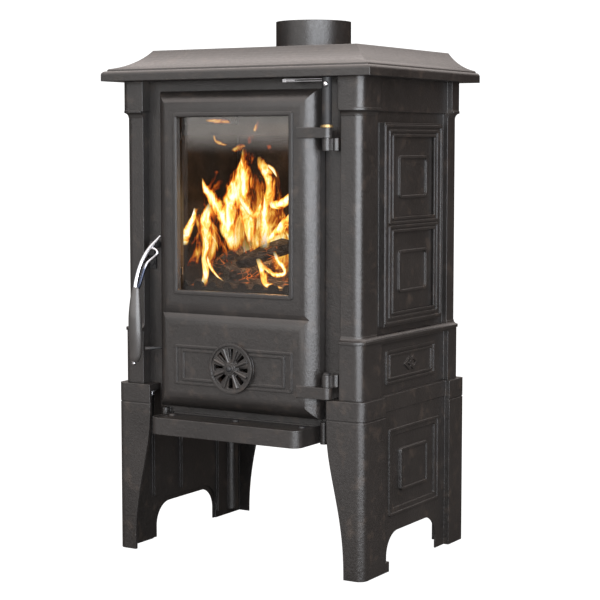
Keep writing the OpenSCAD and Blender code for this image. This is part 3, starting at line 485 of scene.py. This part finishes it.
def rings_along(path, section):
    """Rings square to a path of (x, y, z, size) rows; section(size) gives (side, up) pairs."""
    rings = []
    for i, row in enumerate(path):
        here = Vector(row[:3])
        ahead = Vector(path[min(i + 1, len(path) - 1)][:3]) - Vector(path[max(i - 1, 0)][:3])
        ahead.normalize()
        side = Vector((0, 1, 0)).cross(ahead).normalized()
        up = ahead.cross(side)
        rings.append([at(*(here + side * a + up * b)) for a, b in section(row[3])])
    return rings


def circle(r, sides):
    angles = [2 * math.pi * k / sides for k in range(sides)]
    return [(r * math.cos(angle), r * math.sin(angle)) for angle in angles]


# rows are x, y, z and radius in millimetres: the bright arm, the branch that closes its eye, and the grip
ARM = [(-177, -204, 437.8, 4.0), (-176.3, -202, 450.8, 4.0), (-175, -199.5, 462.1, 4.0),
       (-172.7, -197, 473.5, 4.0), (-169.4, -194.5, 484.1, 4.0), (-165.8, -192.5, 492.2, 4.0),
       (-161.1, -190.5, 500.5, 3.8), (-153.8, -188, 510.3, 3.4), (-146, -186.2, 518.6, 2.6),
       (-138.8, -185, 526.9, 1.4)]
EYE = [(-172, -203.5, 439, 2.4), (-168.3, -202, 447.8, 2.6), (-165, -200, 460.9, 2.8),
       (-161.9, -198, 472.3, 2.6), (-158.7, -195.5, 481.2, 2.4), (-154, -193.5, 486.5, 2.2),
       (-148.1, -192, 491.5, 2.1), (-142.6, -191, 496.5, 2.1), (-141.6, -190, 500.3, 2.1),
       (-144, -189.5, 503.4, 2.1), (-149, -189, 505.5, 2.1), (-156, -188.5, 506.5, 2.1)]
GRIP = [(-179.4, -205, 321.7, 8.6), (-178.6, -205.2, 327, 11.4), (-177.4, -205.5, 336.2, 13.0),
        (-176.9, -206.5, 356, 14.7), (-177.1, -207, 375.8, 15.0), (-177.3, -207, 397.1, 14.2),
        (-177.3, -205.5, 421.5, 11.4), (-176.6, -204, 438, 8.4), (-176.5, -203.5, 442.7, 6.6)]
GRIP_SIDES, GRIP_FLATNESS = 48, 0.62
# the facet's outward direction, and how far out it lies as a part of the grip's radius
FACET, FACET_REACH = (-0.80, -0.60), 0.62
PIVOT_X, PIVOT_Z, BOSS_SIDES = -157.5, 511.5, 32
BOSS_PROFILE = [(-166.4, 6.0), (-183.2, 6.0), (-184.2, 5.4), (-184.5, 4.2)]
# height in metres below which the eye's metal is painted dark blue, a painted dark reflection
PAINTED_REFLECTION_BELOW = 0.478


def grip_section(r):
    """Oval with a flat facet on its outer front, which gives the grip a sharp ridge."""
    points = []
    for a, c in circle(r, GRIP_SIDES):
        b = GRIP_FLATNESS * c
        over = a * FACET[0] + b * FACET[1] - FACET_REACH * r
        if over > 0:
            a, b = a - over * FACET[0], b - over * FACET[1]
        points.append((a, b))
    return points


def boss_rings():
    """Turned boss in front of the door, round the handle's pivot."""
    return [[at(PIVOT_X + a, y, PIVOT_Z + b) for a, b in circle(r, BOSS_SIDES)] for y, r in BOSS_PROFILE]


chrome, grip_plastic = materials["bright_metal"], materials["grip"]
arm_rings = rings_along(catmull(ARM, 6), lambda r: circle(r, 24))
arm = swept("arm_rod", arm_rings, chrome, "handle")
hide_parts("handle_arm")
# the eye's metal, painted dark blue low down as a painted dark reflection
painted_reflection_metal = metal("painted_dark_reflection", (0.46, 0.46, 0.48), 0.24, 0.12, 60, 0.05, painted_reflection_below=PAINTED_REFLECTION_BELOW)
swept("arm_eye", rings_along(catmull(EYE, 5), lambda r: circle(r, 20)), painted_reflection_metal, "handle")
swept("arm_boss", boss_rings(), materials["dark_steel"], "handle")
grip = swept("grip_body", rings_along(catmull(GRIP, 6), grip_section), grip_plastic, "handle", 24)
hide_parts("handle_grip")


# ---- Fire ----

random.seed(11)
# the tongues of flame stand in three layers from here backwards
FIRE_Y = -88
LAYERS, LAYER_GAP = 3, 6
FIRE_COLORS = [(0.04, (0.45, 0.03, 0.002)), (0.20, (0.95, 0.13, 0.008)), (0.40, (1.0, 0.34, 0.03)),
               (0.60, (1.0, 0.60, 0.10)), (0.80, (1.0, 0.82, 0.34)), (0.97, (1.0, 0.97, 0.78))]


def threads(s, coord, scale):
    """Bright thin lines that run upwards, as in a flame's edge."""
    lick = s("Mapping", {"Vector": coord, "Scale": (1, 1, 0.32)}).outputs[0]
    swirl = s.noise(lick, scale, 3, 0.55, 1.3)
    ridge = s.math("ABSOLUTE", s.math("SUBTRACT", swirl, 0.5))
    return s.spread(ridge, 0.0, 0.09, 1.0, 0.0)


def flame_material(name, strength, cooler=0.0):
    """Tongue of fire: hottest along its core, cooler as it rises, clear at its edges and ends."""
    material, s, coord = new_material(name)
    core = s("Attribute", attribute_name="core").outputs["Fac"]
    rise = s("Attribute", attribute_name="rise").outputs["Fac"]
    lick = s("Mapping", {"Vector": coord, "Scale": (1, 1, 0.4)}).outputs[0]
    wisps = s.noise(lick, 52, 4, 0.6, 1.2)
    heat = s.math("ADD", s.math("MULTIPLY", core, 0.85),
                  s.math("MULTIPLY", s.math("SUBTRACT", wisps, 0.5), 1.9))
    heat = s.math("ADD", heat, s.math("MULTIPLY", threads(s, coord, 46), 0.32))
    heat = s.math("SUBTRACT", heat, s.math("ADD", s.math("MULTIPLY", rise, 0.24), cooler))
    cover = s.math("MULTIPLY", s.spread(heat, 0.06, 0.52, 0.0, 1.0), s.spread(core, 0.0, 0.45, 0.0, 1.0))
    ends = s.math("MULTIPLY", s.spread(rise, 0.0, 0.16, 0.0, 1.0), s.spread(rise, 0.86, 1.0, 1.0, 0.0))
    cover = s.math("MULTIPLY", cover, ends)
    light = s("Emission", {"Color": s.ramp(heat, FIRE_COLORS), "Strength": strength}).outputs[0]
    s.output(s("MixShader", {0: cover, 1: s("BsdfTransparent").outputs[0], 2: light}).outputs[0])
    return material


def blaze_material(name, strength, scale, fill):
    """Sheet of fire: tongues of noise that thin out towards the outline's top."""
    material, s, coord = new_material(name)
    rise = s("Attribute", attribute_name="rise").outputs["Fac"]
    lick = s("Mapping", {"Vector": coord, "Scale": (1, 1, 0.42)}).outputs[0]
    tongues = s.noise(lick, scale, 4, 0.58, 1.1)
    foot = s.spread(rise, 0.0, 0.30, 0.85, 0.0)
    heat = s.math("SUBTRACT", fill, s.math("ADD", s.math("MULTIPLY", rise, 0.95), foot))
    heat = s.math("ADD", heat, s.math("MULTIPLY", s.math("SUBTRACT", tongues, 0.5), 3.4))
    heat = s.math("ADD", heat, s.math("MULTIPLY", threads(s, coord, scale * 1.5), 0.30))
    cover = s.spread(heat, 0.05, 0.65, 0.0, 0.92)
    light = s("Emission", {"Color": s.ramp(heat, FIRE_COLORS), "Strength": strength}).outputs[0]
    s.output(s("MixShader", {0: cover, 1: s("BsdfTransparent").outputs[0], 2: light}).outputs[0])
    return material


def sheet_mesh(name, bm, grid):
    """Mesh of quads between neighbouring lines of points."""
    for a, b in zip(grid, grid[1:]):
        for k in range(len(a) - 1):
            bm.faces.new((a[k], a[k + 1], b[k + 1], b[k]))
    return finished_mesh(name, bm)


BLAZE_STEPS, BLAZE_OVERSHOOT = 24, 1.25


def blaze(name, y, low, outline, material):
    """Wavy upright sheet; rise is 0 at its foot and 1 at the outline, and the sheet ends above that."""
    bm = bmesh.new()
    rise_layer = bm.verts.layers.float.new("rise")
    grid = []
    for x, z_top in catmull(outline, 8):
        line = []
        for k in range(BLAZE_STEPS + 1):
            t = BLAZE_OVERSHOOT * k / BLAZE_STEPS
            v = bm.verts.new(at(x, y + 7 * math.sin(0.045 * x + 4 * t), low + (z_top - low) * t))
            v[rise_layer] = t
            line.append(v)
        grid.append(line)
    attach(link_mesh(name, sheet_mesh(name, bm, grid), material), "stove_body")


RIBBON_ACROSS, RIBBON_STEPS = 8, 7


def ribbon(name, path, y, material):
    """Curved sheet along a path of (x, z, half width) rows, with its core and its rise marked."""
    rows = catmull(path, RIBBON_STEPS)
    last = len(rows) - 1
    bm = bmesh.new()
    core_layer = bm.verts.layers.float.new("core")
    rise_layer = bm.verts.layers.float.new("rise")
    grid = []
    for i, (x, z, half) in enumerate(rows):
        ahead = (Vector(rows[min(i + 1, last)][:2]) - Vector(rows[max(i - 1, 0)][:2])).normalized()
        line = []
        for k in range(RIBBON_ACROSS + 1):
            u = 2 * k / RIBBON_ACROSS - 1
            wave = 3.0 * math.sin(0.05 * z + 0.08 * x + 2 * u)
            bulge = 5 * (1 - u * u)
            v = bm.verts.new(at(x + ahead.y * half * u, y + wave - bulge, z - ahead.x * half * u))
            v[core_layer] = 1 - abs(u) ** 1.6
            v[rise_layer] = i / last
            line.append(v)
        grid.append(line)
    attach(link_mesh(name, sheet_mesh(name, bm, grid), material), "stove_body")


# each flame is a path of x, z and half width in millimetres
FLAMES = {
    "main": [(-63, 500, 4), (-66, 521, 13), (-71, 540, 20), (-65, 563, 19), (-60, 584, 22), (-47, 606, 28),
             (-42, 627, 23), (-39, 646, 11), (-37, 668, 2)],
    "left": [(-125, 436, 4), (-119, 460, 6), (-122, 486, 8), (-116, 507, 14), (-117, 534, 18),
             (-115, 557, 13), (-112, 577, 3)],
    "left_foot": [(-87, 448, 1.5), (-103, 458, 3.5), (-116, 474, 5), (-120, 489, 3)],
    "slant": [(-74, 540, 8), (-85, 563, 15), (-102, 586, 13), (-115, 603, 9), (-121, 619, 2)],
    "right": [(-4, 505, 8), (-2, 534, 11), (-4, 557, 10), (3, 583, 11), (10, 604, 10), (3, 625, 9),
              (-7, 639, 9), (-12, 655, 3)],
    "curl": [(0, 640, 4), (10, 633, 4.5), (18, 621, 1.5)],
    "fork": [(-47, 588, 8), (-35, 573, 8), (-19, 560, 9), (-6, 574, 8), (-1, 586, 4)],
    "middle": [(-31, 515, 5), (-32, 540, 13), (-40, 564, 13), (-46, 584, 6)],
    "far_right": [(5, 583, 3.5), (12, 576, 8), (29, 580, 8), (44, 593, 6), (58, 612, 2)],
    "low_right": [(9, 521, 4), (20, 530, 8), (39, 547, 9), (60, 568, 3)],
    "small_left": [(-164, 506, 5), (-158, 525, 9), (-146, 547, 9), (-137, 569, 3)],
    "loop": [(-18, 488, 5), (-10, 466, 5.5), (-5, 447, 5), (12, 443, 3.5), (32, 441, 1)],
    "ring": [(19, 501, 3.5), (27, 486, 5), (37, 476, 4), (39, 466, 4), (23, 463, 4.5), (7, 471, 3.5),
             (-4, 481, 3)],
    "stray_top": [(-118, 714, 2), (-99, 713, 5), (-79, 712, 5), (-65, 711, 2)],
    "stray_tip": [(-27, 696, 2.5), (-20, 704, 7), (-19, 714, 2)],
    "stray_hook": [(-98, 690, 2), (-92, 679, 4), (-71, 673, 2)],
    "stray_low": [(-65, 665, 4), (-51, 669, 8), (-36, 672, 3)],
}
hot, thin = flame_material("flame", 1.9), flame_material("flame_thin", 0.8, 0.34)
for i, (name, path) in enumerate(FLAMES.items()):
    glowing = thin if name.startswith("stray") else hot
    ribbon("flame_" + name, path, FIRE_Y + LAYER_GAP * (i % LAYERS), glowing)
# sheets behind the tongues give the fire its body and depth
blaze("blaze_front", -66, 470, [(-165, 500), (-140, 560), (-112, 600), (-92, 588), (-66, 630), (-42, 656),
                                (-22, 610), (0, 640), (20, 600), (42, 575), (75, 600), (105, 520)],
      blaze_material("blaze_bright", 1.45, 24, 0.72))
blaze("blaze_rear", -10, 440, [(-160, 480), (-120, 560), (-70, 585), (-20, 600), (30, 570), (80, 560),
                               (125, 480)], blaze_material("blaze_dim", 0.5, 17, 0.62))


def charred(name):
    """Burnt wood: cracked dark blocks with a glow in the deepest cracks."""
    material, s, coord = new_material(name)
    cells = s("TexVoronoi", {"Vector": s("Mapping", {"Vector": coord, "Scale": (0.45, 1, 1)}).outputs[0],
                             "Scale": 120.0}, feature="DISTANCE_TO_EDGE").outputs["Distance"]
    ashy = s.noise(coord, 55, 4, 0.6)
    glow_zone = s.spread(s.noise(coord, 26, 3), 0.54, 0.72, 0.0, 1.0)
    tone = s.ramp(ashy, [(0.35, (0.012, 0.010, 0.009)), (0.62, (0.07, 0.06, 0.055)),
                         (0.8, (0.22, 0.20, 0.18))])
    crack = s.spread(cells, 0.0, 0.09, 1.0, 0.0)
    ember = s.math("MULTIPLY", crack, glow_zone)
    s.output(s("BsdfPrincipled", {
        "Base Color": tone, "Roughness": 0.9, "Emission Color": rgb(1.0, 0.24, 0.035),
        "Emission Strength": s.math("MULTIPLY", ember, 1.6),
        "Normal": s.bump(s.spread(cells, 0, 0.2, 0, 1), 0.7, 0.003)}).outputs[0])
    return material


def coals(name):
    """Ash-grey lumps with glowing patches."""
    material, s, coord = new_material(name)
    heat = s.noise(coord, 90, 4, 0.65)
    s.output(s("BsdfPrincipled", {
        "Base Color": s.ramp(s.noise(coord, 40, 3), [(0.4, (0.02, 0.017, 0.015)), (0.7, (0.20, 0.18, 0.16))]),
        "Roughness": 0.95,
        "Emission Color": s.ramp(heat, [(0.45, (0.9, 0.09, 0.01)), (0.7, (1.0, 0.45, 0.08))]),
        "Emission Strength": s.spread(heat, 0.46, 0.68, 0.0, 1.8),
        "Normal": s.bump(heat, 0.6, 0.002)}).outputs[0])
    return material


LOG_STATIONS, LOG_SIDES = 26, 22


def log(name, start, end, radius, material):
    """Rough log with trimmed ends and one split side, from start to end in millimetres."""
    a, b = Vector(start), Vector(end)
    ahead = (b - a).normalized()
    side = ahead.cross(Vector((0, 0, 1))).normalized()
    up = side.cross(ahead)
    rings = []
    for i in range(LOG_STATIONS):
        t = i / (LOG_STATIONS - 1)
        middle = a.lerp(b, t)
        trim = 1 - 0.35 * max(0, 1 - 8 * min(t, 1 - t))
        ring = []
        for k in range(LOG_SIDES):
            angle = 2 * math.pi * k / LOG_SIDES
            c, d = math.cos(angle), math.sin(angle)
            rough = 1 + 0.16 * noise.noise(Vector((t * 5, 2.2 * c, 2.2 * d + radius)))
            rough += 0.05 * noise.noise(Vector((t * 30, 6 * c, 6 * d)))
            split = min(rough, 0.62 / max(0.3, math.cos(angle - 0.9)))
            r = radius * split * trim
            ring.append(at(*(middle + side * r * c + up * r * d)))
        rings.append(ring)
    swept(name, rings, material, "stove_body", 50)


wood = charred("charred_wood")
for name, start, end, radius in (
        ("log_front", (-62, -72, 480), (92, -52, 534), 15),
        ("log_low", (-158, -62, 432), (120, -66, 424), 26),
        ("log_back", (-140, 12, 440), (128, 34, 446), 32),
        ("log_cross", (-88, -70, 462), (-20, 52, 488), 20),
        ("log_left", (-160, -20, 452), (-74, -52, 500), 16),
        ("log_right", (30, -60, 452), (120, 20, 500), 20)):
    log(name, start, end, radius, wood)

LUMPS = 120


def ember_bed():
    """Lumps of glowing coal scattered over the grate."""
    bm = bmesh.new()
    for _ in range(LUMPS):
        place = at(random.uniform(-150, 150), random.uniform(-96, 90), random.uniform(401, 420))
        size = random.uniform(5, 12) * MM
        lump = bmesh.ops.create_icosphere(bm, subdivisions=2, radius=size)
        for v in lump["verts"]:
            v.co *= 1 + 0.28 * noise.noise(v.co * 160 + place * 900)
            v.co += place
    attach(link_mesh("ember_bed", finished_mesh("ember_bed", bm), coals("embers")), "stove_body")


ember_bed()
